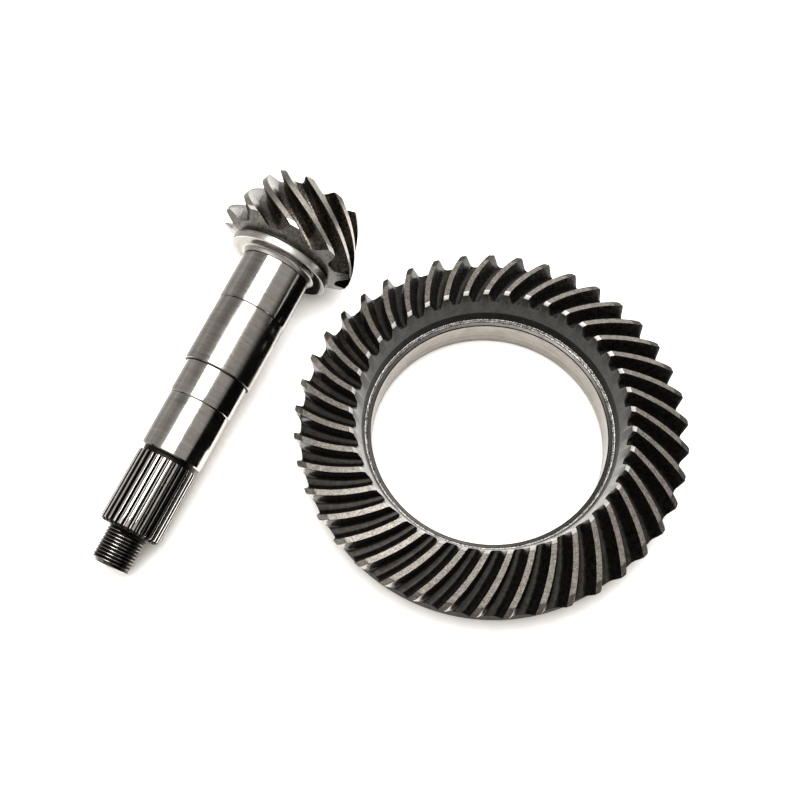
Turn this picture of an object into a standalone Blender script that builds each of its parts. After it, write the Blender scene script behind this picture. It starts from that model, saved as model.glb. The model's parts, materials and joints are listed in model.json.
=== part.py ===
"""Hypoid bevel gear pair of a car axle: a 41-tooth ring gear and its 10-tooth drive pinion.

Both gears lie on a bench, out of mesh. The ring gear lies on its back face with its teeth up.
The pinion lies beside it, on the two lowest heel tips of its head and the outer end of its spline.
Sizes below are in millimetres. A gear is skinned from rings of points about its own +Z axis.
"""
import math

import bmesh
import bpy
from mathutils import Matrix, Vector

MM = 0.001

# Tooth counts and the face-milling cutter that sweeps the tooth traces
RING_TEETH = 41
PINION_TEETH = 10
CUTTER_RADIUS = 101.6

# Ring gear: points of its turned section as (radius, height above the back face)
RING_TOE_TIP = (75.6, 39.2)
RING_TOE_CHAMFER = (77.4, 40.2)
RING_HEEL_TIP = (107.95, 29.9)
RING_TOE_ROOT = (73.7, 33.3)
RING_TOE_SLOT = (73.6, 33.0)
RING_HEEL_ROOT = (104.8, 21.1)
RING_TOE_CONE_FOOT = (71.1, 25.4)
RING_LIP_FILLET = (69.4, 21.9)
RING_LIP = (68.4, 19.4)
RING_BORE_RADIUS = 66.0
RING_BORE_TOP = 18.2
RING_BORE_CHAMFER = 0.8
RING_RIM_RADIUS = 103.0
RING_RIM_TOP = 16.2
RING_RIM_CHAMFER = 3.0

# Ring gear teeth: angles in degrees, widths as half angles at the toe and at the heel
RING_MEAN_RADIUS = 92.0
RING_MEAN_SPIRAL = 29.0
RING_PHASE = -3.07
RING_TOPLAND_HALF = (1.21, 1.02)
RING_ROOTLAND_HALF = (0.62, 0.90)
RING_STATIONS = 8

# Tapped holes in the back face, size 3/8-24, cut at their tapping diameter
BOLT_HOLES = 10
BOLT_CIRCLE_RADIUS = 83.0
BOLT_HOLE_RADIUS = 4.3
BOLT_HOLE_DEPTH = 15.0
BOLT_HOLE_SIDES = 12

# Pinion head: (radius, distance along the axis from the threaded end)
HEAD_HEEL_TIP = (42.1, 202.7)
HEAD_TOE_TIP = (30.1, 237.1)
HEAD_HEEL_ROOT = (33.3, 199.5)
HEAD_TOE_ROOT = (22.3, 235.6)
HEAD_FRONT_RADIUS = 21.0
HEAD_BACK_FOOT = (28.8, 198.0)
HEAD_NECK = (28.6, 197.0)
HEAD_PHASE = 17.4
HEAD_WRAP = -80.0
HEAD_WRAP_GROWTH = -5.3
HEAD_TOPLAND_HALF = (3.92, 5.45)
HEAD_ROOTLAND_HALF = (3.05, 3.60)
HEAD_STATIONS = 17

# Pinion shaft: axial places of its steps and their radii. The spline's half widths are shares of its pitch
COLLAR_START = 191.65
COLLAR_END = 196.4
COLLAR_RADIUS = 30.0
COLLAR_CHAMFER = 0.7
INNER_SEAT_START = 159.0
INNER_SEAT_END = 189.0
INNER_SEAT_RADIUS = 20.5
INNER_SEAT_FILLET = 22.4
BARREL_START = 118.3
BARREL_RADIUS = 20.25
OUTER_SEAT_START = 65.6
OUTER_SEAT_STEP = 98.2
OUTER_SEAT_RADIUS = 18.0
PRESS_SEAT_RADIUS = 18.5
STEP_CHAMFER = 0.6
UNDERCUT_START = 62.8
UNDERCUT_RADIUS = 15.3
SPLINE_START = 20.3
SPLINE_RADIUS = 17.0
SPLINE_ROOT_RADIUS = 15.6
SPLINE_END_RADIUS = 14.9
SPLINE_CHAMFER = 1.6
SPLINE_TEETH = 28
SPLINE_TIP_HALF = 0.13
SPLINE_ROOT_HALF = 0.13
SPLINE_NOSE_DROP = 0.2
SHAFT_SIDES = 40

# Thread, size 7/8-14
THREAD_END = 18.7
THREAD_MAJOR = 11.1
THREAD_MINOR = 10.0
THREAD_PITCH = 25.4 / 14
THREAD_SIDES = 20
THREAD_CHAMFER = 1.1
THREAD_FADE_TURNS = 0.5
THREAD_NOSE = (9.9, 0.44)
THREAD_END_FACE_RADIUS = 9.5
CENTRE_RADIUS = 3.2
CENTRE_DEPTH = 3.6

# Layout on the bench: the pinion's threaded end, seen from the ring gear's centre
PINION_OFFSET = (-203.97, -76.76)
PINION_AZIMUTH = 63.85


def mix(pair, u):
    """Straight-line value between the two values of a pair."""
    return pair[0] + (pair[1] - pair[0]) * u


def tooth_trace(radius):
    """Angle of a ring-gear tooth trace, the arc of a round cutter rolled onto the face cone."""
    run = RING_HEEL_TIP[0] - RING_TOE_CHAMFER[0]
    fall = RING_TOE_CHAMFER[1] - RING_HEEL_TIP[1]
    cone_sine = run / math.hypot(run, fall)
    mean = RING_MEAN_RADIUS / cone_sine
    lean = math.sin(math.radians(RING_MEAN_SPIRAL))
    centre = math.sqrt(mean ** 2 + CUTTER_RADIUS ** 2 - 2 * mean * CUTTER_RADIUS * lean)

    def opening(distance):
        square = distance ** 2 + centre ** 2 - CUTTER_RADIUS ** 2
        return math.acos(square / (2 * distance * centre))

    return (opening(radius / cone_sine) - opening(mean)) / cone_sine


class Skin:
    """Grows one closed surface through rings of points about the Z axis."""

    def __init__(self):
        self.bm = bmesh.new()

    def ring(self, points):
        """One ring from (radius, angle, height) points, whose angles rise through one turn."""
        verts = []
        for radius, angle, height in points:
            place = (radius * math.cos(angle) * MM, radius * math.sin(angle) * MM, height * MM)
            verts.append((angle, self.bm.verts.new(place)))
        return verts

    def turned(self, radius, height, angles):
        return self.ring([(radius, angle, height) for angle in angles])

    def join(self, first, second):
        """Joins two rings, by quads where they match and by triangles where they don't."""
        count, other = len(first), len(second)
        if count == other:
            for i in range(count):
                k = (i + 1) % count
                self.bm.faces.new((first[i][1], first[k][1], second[k][1], second[i][1]))
            return
        i = j = 0
        turn = 2 * math.pi
        while i < count or j < other:
            next_first = first[(i + 1) % count][0] + turn * ((i + 1) // count)
            next_second = second[(j + 1) % other][0] + turn * ((j + 1) // other)
            here = first[i % count][1]
            there = second[j % other][1]
            if j == other or (i < count and next_first <= next_second):
                self.bm.faces.new((here, first[(i + 1) % count][1], there))
                i += 1
            else:
                self.bm.faces.new((here, second[(j + 1) % other][1], there))
                j += 1

    def chain(self, rings):
        for first, second in zip(rings, rings[1:]):
            self.join(first, second)

    def cap(self, ring, height):
        """Closes a ring with a fan to a point on the axis."""
        tip = self.bm.verts.new((0.0, 0.0, height * MM))
        for i in range(len(ring)):
            self.bm.faces.new((ring[i][1], ring[(i + 1) % len(ring)][1], tip))

    def mesh(self, name):
        bmesh.ops.recalc_face_normals(self.bm, faces=self.bm.faces)
        data = bpy.data.meshes.new(name)
        self.bm.to_mesh(data)
        self.bm.free()
        data.shade_smooth()
        data.set_sharp_from_angle(angle=math.radians(28))
        return data


def steel(name, colour, roughness):
    """Bare or coated steel of one colour."""
    material = bpy.data.materials.new(name)
    material.use_nodes = True
    shader = material.node_tree.nodes["Principled BSDF"]
    shader.inputs["Base Color"].default_value = (*colour, 1.0)
    shader.inputs["Roughness"].default_value = roughness
    shader.inputs["Metallic"].default_value = 1.0
    return material


def add_object(name, data, material):
    part = bpy.data.objects.new(name, data)
    bpy.context.scene.collection.objects.link(part)
    part.data.materials.append(material)
    return part


# --- ring gear ----------------------------------------------------------------------------

def ring_columns():
    """Angles of the points around the ring gear's body: four for each tooth."""
    pitch = 2 * math.pi / RING_TEETH
    return [pitch * (k + step / 4) for k in range(RING_TEETH) for step in range(4)]


def ring_tooth_row(skin, u):
    """One row of points across all the teeth, at u from the toe (0) to the heel (1)."""
    tip_radius = mix((RING_TOE_CHAMFER[0], RING_HEEL_TIP[0]), u)
    tip_height = mix((RING_TOE_CHAMFER[1], RING_HEEL_TIP[1]), u)
    root_radius = mix((RING_TOE_ROOT[0], RING_HEEL_ROOT[0]), u)
    root_height = mix((RING_TOE_ROOT[1], RING_HEEL_ROOT[1]), u)
    trace = math.radians(RING_PHASE) + tooth_trace(tip_radius)
    pitch = 2 * math.pi / RING_TEETH
    tip_half = math.radians(mix(RING_TOPLAND_HALF, u))
    root_half = math.radians(mix(RING_ROOTLAND_HALF, u))
    points = []
    for k in range(RING_TEETH):
        centre = trace + pitch * k
        points.append((tip_radius, centre - tip_half, tip_height))
        points.append((tip_radius, centre + tip_half, tip_height))
        points.append((root_radius, centre + pitch / 2 - root_half, root_height))
        points.append((root_radius, centre + pitch / 2 + root_half, root_height))
    return skin.ring(points)


def ring_toe_row(skin):
    """The row where the teeth meet the toe cone, inside the chamfers of their toplands."""
    trace = math.radians(RING_PHASE) + tooth_trace(RING_TOE_TIP[0])
    root_trace = math.radians(RING_PHASE) + tooth_trace(RING_TOE_CHAMFER[0])
    pitch = 2 * math.pi / RING_TEETH
    tip_half = math.radians(RING_TOPLAND_HALF[0])
    root_half = math.radians(RING_ROOTLAND_HALF[0])
    points = []
    for k in range(RING_TEETH):
        points.append((RING_TOE_TIP[0], trace + pitch * k - tip_half, RING_TOE_TIP[1]))
        points.append((RING_TOE_TIP[0], trace + pitch * k + tip_half, RING_TOE_TIP[1]))
        slot = root_trace + pitch * (k + 0.5)
        points.append((RING_TOE_SLOT[0], slot - root_half, RING_TOE_SLOT[1]))
        points.append((RING_TOE_SLOT[0], slot + root_half, RING_TOE_SLOT[1]))
    return skin.ring(points)


def turned_row(skin, section_point, phase):
    """A ring of the turned section, with its first point at a phase angle."""
    angles = [phase + angle for angle in ring_columns()]
    return skin.turned(section_point[0], section_point[1], angles)


def ring_gear_mesh():
    skin = Skin()
    rows = [ring_toe_row(skin)]
    for step in range(RING_STATIONS):
        rows.append(ring_tooth_row(skin, step / (RING_STATIONS - 1)))
    heel_phase = rows[-1][0][0]
    back = [
        (RING_RIM_RADIUS, RING_RIM_TOP),
        (RING_RIM_RADIUS, RING_RIM_CHAMFER),
        (RING_RIM_RADIUS - RING_RIM_CHAMFER, 0.0),
    ]
    rows += [turned_row(skin, point, heel_phase) for point in back]
    toe_phase = rows[0][0][0]
    front = [
        (RING_BORE_RADIUS + RING_BORE_CHAMFER, 0.0),
        (RING_BORE_RADIUS, RING_BORE_CHAMFER),
        (RING_BORE_RADIUS, RING_BORE_TOP),
        RING_LIP,
        RING_LIP_FILLET,
        RING_TOE_CONE_FOOT,
    ]
    inner = [turned_row(skin, point, toe_phase) for point in front]
    skin.chain(rows)
    skin.join(rows[-1], inner[0])
    skin.chain(inner)
    skin.join(inner[-1], rows[0])
    return skin.mesh("ring_gear")


def bolt_hole_cutter():
    """The tapped holes as one cutter, a closed prism for each hole."""
    bm = bmesh.new()
    for k in range(BOLT_HOLES):
        angle = 2 * math.pi * k / BOLT_HOLES
        place = Vector((math.cos(angle), math.sin(angle), 0.0)) * BOLT_CIRCLE_RADIUS * MM
        bmesh.ops.create_cone(
            bm,
            cap_ends=True,
            segments=BOLT_HOLE_SIDES,
            radius1=BOLT_HOLE_RADIUS * MM,
            radius2=BOLT_HOLE_RADIUS * MM,
            depth=2 * BOLT_HOLE_DEPTH * MM,
            matrix=Matrix.Translation(place),
        )
    data = bpy.data.meshes.new("bolt_hole_cutter")
    bm.to_mesh(data)
    bm.free()
    cutter = bpy.data.objects.new("bolt_hole_cutter", data)
    bpy.context.scene.collection.objects.link(cutter)
    cutter.hide_render = True
    cutter.display_type = "WIRE"
    return cutter


def make_ring_gear():
    material = steel("phosphated_steel", (0.05, 0.047, 0.043), 0.42)
    gear = add_object("ring_gear", ring_gear_mesh(), material)
    cutter = bolt_hole_cutter()
    cutter.parent = gear
    cut = gear.modifiers.new("tapped_holes", "BOOLEAN")
    cut.operation = "DIFFERENCE"
    cut.solver = "EXACT"
    cut.object = cutter
    return gear


# --- drive pinion -------------------------------------------------------------------------

def even_angles(count, start=0.0):
    return [start + 2 * math.pi * k / count for k in range(count)]


def thread_rows(skin):
    """The helical thread, and the plain ring of points at each of its ends."""
    turns = int((THREAD_END - THREAD_CHAMFER) / THREAD_PITCH) - 1
    count = turns * THREAD_SIDES
    crest = []
    groove = []
    for k in range(count + THREAD_SIDES + 1):
        angle = 2 * math.pi * k / THREAD_SIDES
        height = THREAD_CHAMFER + THREAD_PITCH * k / THREAD_SIDES
        fade = min(1.0, k / (THREAD_SIDES * THREAD_FADE_TURNS))
        radius = THREAD_MINOR + (THREAD_MAJOR - THREAD_MINOR) * fade
        crest.append(skin.ring([(radius, angle, height)])[0][1])
        if k <= count:
            groove.append(skin.ring([(THREAD_MINOR, angle, height + THREAD_PITCH / 2)])[0][1])
    for k in range(count):
        skin.bm.faces.new((crest[k], crest[k + 1], groove[k + 1], groove[k]))
        after = k + THREAD_SIDES
        skin.bm.faces.new((groove[k], groove[k + 1], crest[after + 1], crest[after]))
    start = skin.turned(THREAD_NOSE[0], THREAD_NOSE[1], even_angles(THREAD_SIDES))
    end = skin.turned(THREAD_MAJOR, THREAD_END, even_angles(THREAD_SIDES))
    for k in range(THREAD_SIDES):
        after = (k + 1) % THREAD_SIDES
        skin.bm.faces.new((start[k][1], start[after][1], crest[k + 1], crest[k]))
        last = count + k
        skin.bm.faces.new((crest[last], crest[last + 1], end[after][1], end[k][1]))
    skin.bm.faces.new((start[0][1], crest[0], groove[0], crest[THREAD_SIDES]))
    skin.bm.faces.new((end[0][1], crest[count + THREAD_SIDES], groove[count], crest[count]))
    return start, end


def spline_row(skin, tip_radius, root_radius, height):
    """One row of points around the spline: four for each of its teeth."""
    pitch = 2 * math.pi / SPLINE_TEETH
    points = []
    for k in range(SPLINE_TEETH):
        points.append((tip_radius, pitch * (k - SPLINE_TIP_HALF), height))
        points.append((tip_radius, pitch * (k + SPLINE_TIP_HALF), height))
        points.append((root_radius, pitch * (k + 0.5 - SPLINE_ROOT_HALF), height))
        points.append((root_radius, pitch * (k + 0.5 + SPLINE_ROOT_HALF), height))
    return skin.ring(points)


def shaft_rows(skin):
    """The turned steps of the shaft, from the undercut beside the spline to the neck."""
    section = [
        (UNDERCUT_RADIUS, UNDERCUT_START),
        (UNDERCUT_RADIUS, OUTER_SEAT_START),
        (OUTER_SEAT_RADIUS - STEP_CHAMFER, OUTER_SEAT_START),
        (OUTER_SEAT_RADIUS, OUTER_SEAT_START + STEP_CHAMFER),
        (OUTER_SEAT_RADIUS, OUTER_SEAT_STEP),
        (PRESS_SEAT_RADIUS, OUTER_SEAT_STEP + STEP_CHAMFER),
        (PRESS_SEAT_RADIUS, BARREL_START),
        (BARREL_RADIUS - STEP_CHAMFER, BARREL_START),
        (BARREL_RADIUS, BARREL_START + STEP_CHAMFER),
        (BARREL_RADIUS, INNER_SEAT_START - STEP_CHAMFER),
        (INNER_SEAT_RADIUS, INNER_SEAT_START),
        (INNER_SEAT_RADIUS, INNER_SEAT_END),
        (INNER_SEAT_FILLET, COLLAR_START),
        (COLLAR_RADIUS - COLLAR_CHAMFER, COLLAR_START),
        (COLLAR_RADIUS, COLLAR_START + COLLAR_CHAMFER),
        (COLLAR_RADIUS, COLLAR_END - COLLAR_CHAMFER),
        (COLLAR_RADIUS - COLLAR_CHAMFER, COLLAR_END),
        HEAD_NECK,
    ]
    return [skin.turned(radius, place, even_angles(SHAFT_SIDES)) for radius, place in section]


def head_row(skin, u):
    """One row of points across the pinion's teeth, at u from the heel (0) to the toe (1)."""
    tip_radius = mix((HEAD_HEEL_TIP[0], HEAD_TOE_TIP[0]), u)
    tip_place = mix((HEAD_HEEL_TIP[1], HEAD_TOE_TIP[1]), u)
    root_radius = mix((HEAD_HEEL_ROOT[0], HEAD_TOE_ROOT[0]), u)
    root_place = mix((HEAD_HEEL_ROOT[1], HEAD_TOE_ROOT[1]), u)
    trace = math.radians(HEAD_PHASE + HEAD_WRAP * u + HEAD_WRAP_GROWTH * u * u)
    pitch = 2 * math.pi / PINION_TEETH
    tip_half = math.radians(mix(HEAD_TOPLAND_HALF, u))
    root_half = math.radians(mix(HEAD_ROOTLAND_HALF, u))
    points = []
    for k in range(PINION_TEETH):
        centre = trace + pitch * k
        points.append((tip_radius, centre - tip_half, tip_place))
        points.append((tip_radius, centre + tip_half, tip_place))
        points.append((root_radius, centre + pitch / 2 - root_half, root_place))
        points.append((root_radius, centre + pitch / 2 + root_half, root_place))
    return skin.ring(points)


def drive_pinion_mesh():
    skin = Skin()
    centre = skin.turned(CENTRE_RADIUS, 0.0, even_angles(THREAD_SIDES))
    rim = skin.turned(THREAD_END_FACE_RADIUS, 0.0, even_angles(THREAD_SIDES))
    skin.cap(centre, CENTRE_DEPTH)
    thread_start, thread_end = thread_rows(skin)
    skin.chain([centre, rim, thread_start])
    collet = skin.turned(THREAD_MAJOR, SPLINE_START, even_angles(THREAD_SIDES))
    nose = spline_row(skin, SPLINE_END_RADIUS, SPLINE_END_RADIUS - SPLINE_NOSE_DROP, SPLINE_START)
    outer = spline_row(skin, SPLINE_RADIUS, SPLINE_ROOT_RADIUS, SPLINE_START + SPLINE_CHAMFER)
    inner = spline_row(skin, SPLINE_RADIUS, SPLINE_ROOT_RADIUS, UNDERCUT_START)
    skin.chain([thread_end, collet, nose, outer, inner])
    shaft = shaft_rows(skin)
    head = [head_row(skin, step / (HEAD_STATIONS - 1)) for step in range(HEAD_STATIONS)]
    head_start = head[0][0][0]
    back = skin.turned(HEAD_BACK_FOOT[0], HEAD_BACK_FOOT[1], even_angles(SHAFT_SIDES, head_start))
    skin.join(inner, shaft[0])
    skin.chain(shaft + [back] + head)
    front = skin.turned(HEAD_FRONT_RADIUS, HEAD_TOE_ROOT[1], even_angles(SHAFT_SIDES, head[-1][0][0]))
    hollow = skin.turned(CENTRE_RADIUS, HEAD_TOE_ROOT[1], even_angles(SHAFT_SIDES, head[-1][0][0]))
    skin.chain([head[-1], front, hollow])
    skin.cap(hollow, HEAD_TOE_ROOT[1] - CENTRE_DEPTH)
    return skin.mesh("drive_pinion")


def pinion_pose():
    """Tilt and height of the pinion's axis when heel tips and spline rest on the bench."""
    pitch = 360 / PINION_TEETH
    reach = 0.0
    for k in range(PINION_TEETH):
        for side in (-1, 1):
            corner = HEAD_PHASE + pitch * k + side * HEAD_TOPLAND_HALF[0]
            reach = max(reach, -HEAD_HEEL_TIP[0] * math.cos(math.radians(corner)))
    spline_place = SPLINE_START + SPLINE_CHAMFER
    tilt = math.atan2(reach - SPLINE_RADIUS, HEAD_HEEL_TIP[1] - spline_place)
    height = SPLINE_RADIUS * math.cos(tilt) - spline_place * math.sin(tilt)
    return tilt, height


def make_drive_pinion():
    """The pinion, with its origin on its axis at the threaded end and +Z along the axis."""
    material = steel("ground_steel", (0.46, 0.44, 0.41), 0.28)
    pinion = add_object("drive_pinion", drive_pinion_mesh(), material)
    tilt, height = pinion_pose()
    azimuth = math.radians(PINION_AZIMUTH)
    axis = Vector((math.cos(azimuth) * math.cos(tilt), math.sin(azimuth) * math.cos(tilt), math.sin(tilt)))
    side = Vector((math.sin(azimuth), -math.cos(azimuth), 0.0))
    top = side.cross(axis)
    turn = Matrix((top, side, axis)).transposed()
    place = Vector((PINION_OFFSET[0] * MM, PINION_OFFSET[1] * MM, height * MM))
    pinion.matrix_world = Matrix.Translation(place) @ turn.to_4x4()
    return pinion


# --- the set --------------------------------------------------------------------------------

def centre_on_bench(parts):
    """Hangs the parts on one empty, moved so that the set is centred over the origin."""
    corners = []
    for part in parts:
        corners += [part.matrix_basis @ vert.co for vert in part.data.vertices]
    base = bpy.data.objects.new("set_origin", None)
    bpy.context.scene.collection.objects.link(base)
    low = [min(corner[axis] for corner in corners) for axis in range(3)]
    high = [max(corner[axis] for corner in corners) for axis in range(3)]
    for part in parts:
        part.parent = base
    base.location = (-(low[0] + high[0]) / 2, -(low[1] + high[1]) / 2, -low[2])


def main():
    for item in list(bpy.data.objects):
        bpy.data.objects.remove(item, do_unlink=True)
    centre_on_bench([make_ring_gear(), make_drive_pinion()])


main()
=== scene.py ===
"""Looks for the hypoid gear pair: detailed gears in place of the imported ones, finishes, light and camera.

The gears' sizes are in millimetres until a point is stored, the studio's are in metres, and angles are in
degrees unless a comment says otherwise. Each gear is skinned from rows of points about its own +Z axis,
so that it stays one closed mesh.
"""
import json
import math

import bmesh
import bpy
from mathutils import Matrix, Vector, geometry, noise


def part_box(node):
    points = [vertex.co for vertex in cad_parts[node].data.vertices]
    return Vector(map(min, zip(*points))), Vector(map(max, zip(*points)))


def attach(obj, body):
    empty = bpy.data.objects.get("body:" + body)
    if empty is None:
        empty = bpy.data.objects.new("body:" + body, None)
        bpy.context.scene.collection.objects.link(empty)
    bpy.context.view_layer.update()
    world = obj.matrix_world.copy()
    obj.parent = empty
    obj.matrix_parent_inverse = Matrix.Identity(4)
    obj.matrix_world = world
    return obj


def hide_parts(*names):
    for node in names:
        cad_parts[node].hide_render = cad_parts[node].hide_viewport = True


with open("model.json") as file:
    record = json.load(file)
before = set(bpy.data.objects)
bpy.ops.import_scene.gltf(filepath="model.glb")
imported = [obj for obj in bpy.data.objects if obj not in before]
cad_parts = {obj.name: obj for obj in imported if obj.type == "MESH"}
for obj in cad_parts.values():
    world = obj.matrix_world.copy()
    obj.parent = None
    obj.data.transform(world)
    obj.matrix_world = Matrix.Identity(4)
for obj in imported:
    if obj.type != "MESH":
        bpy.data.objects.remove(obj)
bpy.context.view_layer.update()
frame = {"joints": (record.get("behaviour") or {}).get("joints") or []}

MM = 0.001
INCH = 25.4
TURN = 2 * math.pi
SHARP_ANGLE = 30

# Camera: its lens and sensor in millimetres, and the point on the floor that it looks at
LENS = 46.08
SENSOR = 36.0
CAMERA_ELEVATION = 65.206
CAMERA_DISTANCE = 0.59883
CAMERA_TARGET = (0.002739, 0.006917, 0.0)

# Ring gear: (radius, height above the back face), and pairs of values at the toe and the heel
RING_TEETH = 41
CUTTER_RADIUS = 101.6
RING_TOE_TIP = (75.6, 39.2)
RING_TOE_CHAMFER = (77.4, 40.2)
RING_HEEL_TIP = (107.95, 29.9)
RING_TOE_ROOT = (73.7, 33.3)
RING_HEEL_ROOT = (104.8, 21.1)
RING_MEAN_RADIUS = 92.0
RING_MEAN_SPIRAL = 29.0
RING_PHASE = -3.07
RING_TOPLAND_HALF = (1.21, 1.02)
RING_ROOTLAND_HALF = (0.62, 0.90)
RING_STATIONS = 44
STATION_EASING = 0.35
RING_COLUMNS = 410

# The two rows where the teeth meet the toe cone. One is backed off from the other. As (radius, height):
# what a back-off of 1 takes from the tips, how far both rows' roots lie below the toe's, and what it takes
# from the roots.
TOE_BACK_OFF = 0.35
TOE_TIP_STEP = (0.5, 0.8)
TOE_ROOT_DROP = (0.08, 0.25)
TOE_ROOT_STEP = (0.2, 0.6)

# Towards the heel, from these shares of a tooth's length: a facet that takes up to FACET_DROP off the
# topland, a bright bare-steel patch down one flank as a painted reflection, which widens towards the heel,
# and a topland that narrows
FACET_START = 0.84
FACET_MARGIN = 0.005
FACET_DROP = 0.6
REFLECTION_START = 0.87
REFLECTION_COLUMNS = 6
HEEL_NARROWS = 0.955
HEEL_NARROWING = 0.20

# Turned surfaces of the ring gear: from the toe cone's foot down to the bore, then the rim from the teeth
# down. The wobble is how far the fillet and the lip stray from a true circle.
TOE_CONE_FOOT = (71.1, 25.4)
FILLET = ((70.8, 24.6), (70.35, 23.4), (69.9, 22.2), (69.55, 21.3), (69.35, 20.8))
LIP = ((69.15, 20.4), (68.85, 19.95), (68.5, 19.68), (68.2, 19.5))
LIP_GROOVE = ((68.12, 19.3), (67.98, 19.26), (67.9, 19.33))
LIP_RING = ((66.5, 18.62),)
BORE_GROOVE = ((66.4, 18.45), (66.25, 18.4), (66.1, 18.25))
BORE = ((66.0, 18.1), (66.0, 12.0), (66.0, 6.0), (66.0, 1.5))
BORE_EDGE = ((66.15, 0.95), (66.8, 0.0))
RIM = ((103.0, 16.2), (102.85, 15.8), (102.85, 3.4), (102.7, 3.0), (100.2, 0.25), (99.9, 0.0))
FILLET_WOBBLE = 0.05
LIP_WOBBLE = 0.10
WOBBLE_SCALE = 19

# Tapped holes in the back face: a countersink, a thread that fades out over its last rows, and a drill point
BOLT_HOLES = 10
BOLT_CIRCLE_RADIUS = 83.0
BOLT_HOLE_RADIUS = 4.3
BOLT_HOLE_DEPTH = 15.0
BOLT_HOLE_SIDES = 20
COUNTERSINK = 0.9
DRILL_POINT = 2.4
BOLT_PITCH = INCH / 24
BOLT_THREAD_DEPTH = 0.66 * BOLT_PITCH
BOLT_THREAD_ENDS = (1.0, 12.0)
BOLT_THREAD_ROWS = 44
BOLT_FADE_ROWS = 4

# For comparing places, in millimetres
TOLERANCE = 1e-3
CUT_TOLERANCE = 1e-5

# One flank from the topland's edge to the root land: (share of its width, share of its depth)
FLANK = (
    (0.0, 0.022), (0.055, 0.075), (0.13, 0.18), (0.24, 0.35), (0.34, 0.52), (0.425, 0.67),
    (0.505, 0.79), (0.60, 0.88), (0.72, 0.945), (0.86, 0.985), (1.0, 1.0),
)
TOPLAND = (-0.94, -0.4, 0.4, 0.94)

# The lay attribute runs along and across a tooth, for its marks. Across it, in shares of a pitch: the
# topland's half width, where each flank starts, and what its depth adds. Then its scale across the tooth,
# its step in the third value from tooth to tooth, and its scales along the teeth.
LAY_TOPLAND_HALF = 0.15
LAY_FLANK = 0.32
LAY_NEXT_FLANK = 0.98
LAY_FLANK_DEPTH = 0.30
LAY_WIDTH = 1.6
LAY_TOOTH_STEP = 0.37
RING_LAY_LENGTH = 1.12
HEAD_LAY_LENGTH = 62.0

# Third value of lay on the other surfaces
LAY_TURNED = 1.0
LAY_BOLT_HOLE = 2.0
LAY_THREAD = 3.0
LAY_SPLINE = 4.0

# Pinion's head: (radius, distance from the threaded end), and pairs of values at the heel and the toe.
# Its wrap is the angle that the teeth turn through from heel to toe.
PINION_TEETH = 10
HEAD_FOOT = (28.82, 198.05)
HEAD_HEEL_TIP = (42.1, 202.7)
HEAD_TOE_TIP = (30.1, 237.1)
HEAD_HEEL_ROOT = (33.3, 199.5)
HEAD_TOE_ROOT = (22.3, 235.6)
HEAD_PHASE = 17.4
HEAD_WRAP = -80.0
HEAD_WRAP_GROWTH = -5.3
HEAD_TOPLAND_HALF = (3.92, 5.45)
HEAD_ROOTLAND_HALF = (3.05, 3.60)
HEAD_STATIONS = 64
HEAD_CHAMFER = 2.2
HEAD_CHAMFER_DROP = 0.9
TOE_NARROWS = 0.97
TOE_NARROWING = 0.10
SHAFT_COLUMNS = 180

# Ends of the pinion, each with a centre hole: (radius, distance from the threaded end)
END_HOLE_TIP = 4.4
END_SECTION = ((0.9, 3.6), (1.0, 2.6), (3.2, 0.35), (3.5, 0.0), (9.5, 0.0))
FRONT_EDGE = (21.2, 235.5)
FRONT_SECTION = ((20.0, 235.3), (3.7, 235.3), (3.3, 234.9), (1.0, 232.8), (0.9, 231.8))
FRONT_HOLE_TIP = 231.0

# Spline: its shape as (share of the pitch, share of the depth), and its rows as (tip, root, distance)
SPLINE_TEETH = 28
SPLINE_SHAPE = (
    (-0.17, 0.96), (-0.10, 1.0), (0.10, 1.0), (0.17, 0.96), (0.215, 0.80), (0.26, 0.55), (0.305, 0.28),
    (0.35, 0.08), (0.42, 0.0), (0.58, 0.0), (0.65, 0.08), (0.695, 0.28), (0.74, 0.55), (0.785, 0.80),
)
SPLINE_FACE = ((9.9, 20.28), (10.4, 20.3))
SPLINE_NOSE = ((14.75, 14.7, 20.3), (15.0, 14.9, 20.42), (16.75, 15.35, 21.8))
SPLINE_RADII = (17.0, 15.2)
SPLINE_PLACES = (22.3, 28.0, 36.0, 44.0, 52.0, 58.0, 62.2)
SPLINE_BACK = (16.75, 15.2, 62.8)

# Thread: its shape over one pitch as shares of its depth, its growth at the start in depths per turn, where
# it starts, and the plain circles before and after it, as (radius, distance)
THREAD_MAJOR = 11.1
THREAD_MINOR = 10.0
THREAD_PITCH = INCH / 14
THREAD_SIDES = 60
THREAD_SHAPE = (1.0, 1.0, 0.70, 0.36, 0.04, 0.04, 0.36, 0.70)
THREAD_STEPS = len(THREAD_SHAPE)
THREAD_GROWTH = 1.4
THREAD_PLACE = 0.3
THREAD_NOSE = (9.85, 0.12)
THREAD_RELIEF = (9.9, 20.27)

# Studio: a softbox above the set, turned so that its sides run along the shaft, and a glowing floor with a
# painted contact shadow: its glow fades to brown between two shares of open air, counted within
# FLOOR_SHADE_REACH
SOFTBOX_PLACE = (0.0, 0.20, 1.15)
SOFTBOX_AZIMUTH = 63.85
SOFTBOX_SIZE = (0.90, 1.2)
SOFTBOX_POWER = 20.0
SOFTBOX_COLOUR = (1.0, 0.985, 0.965)
FLOOR_REACH = 4.0
FLOOR_GLOW = 0.72
FLOOR_SHADE_REACH = 0.022
FLOOR_SHADE_SAMPLES = 8
FLOOR_SHADOW_FADE = (0.35, 0.95)

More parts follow.
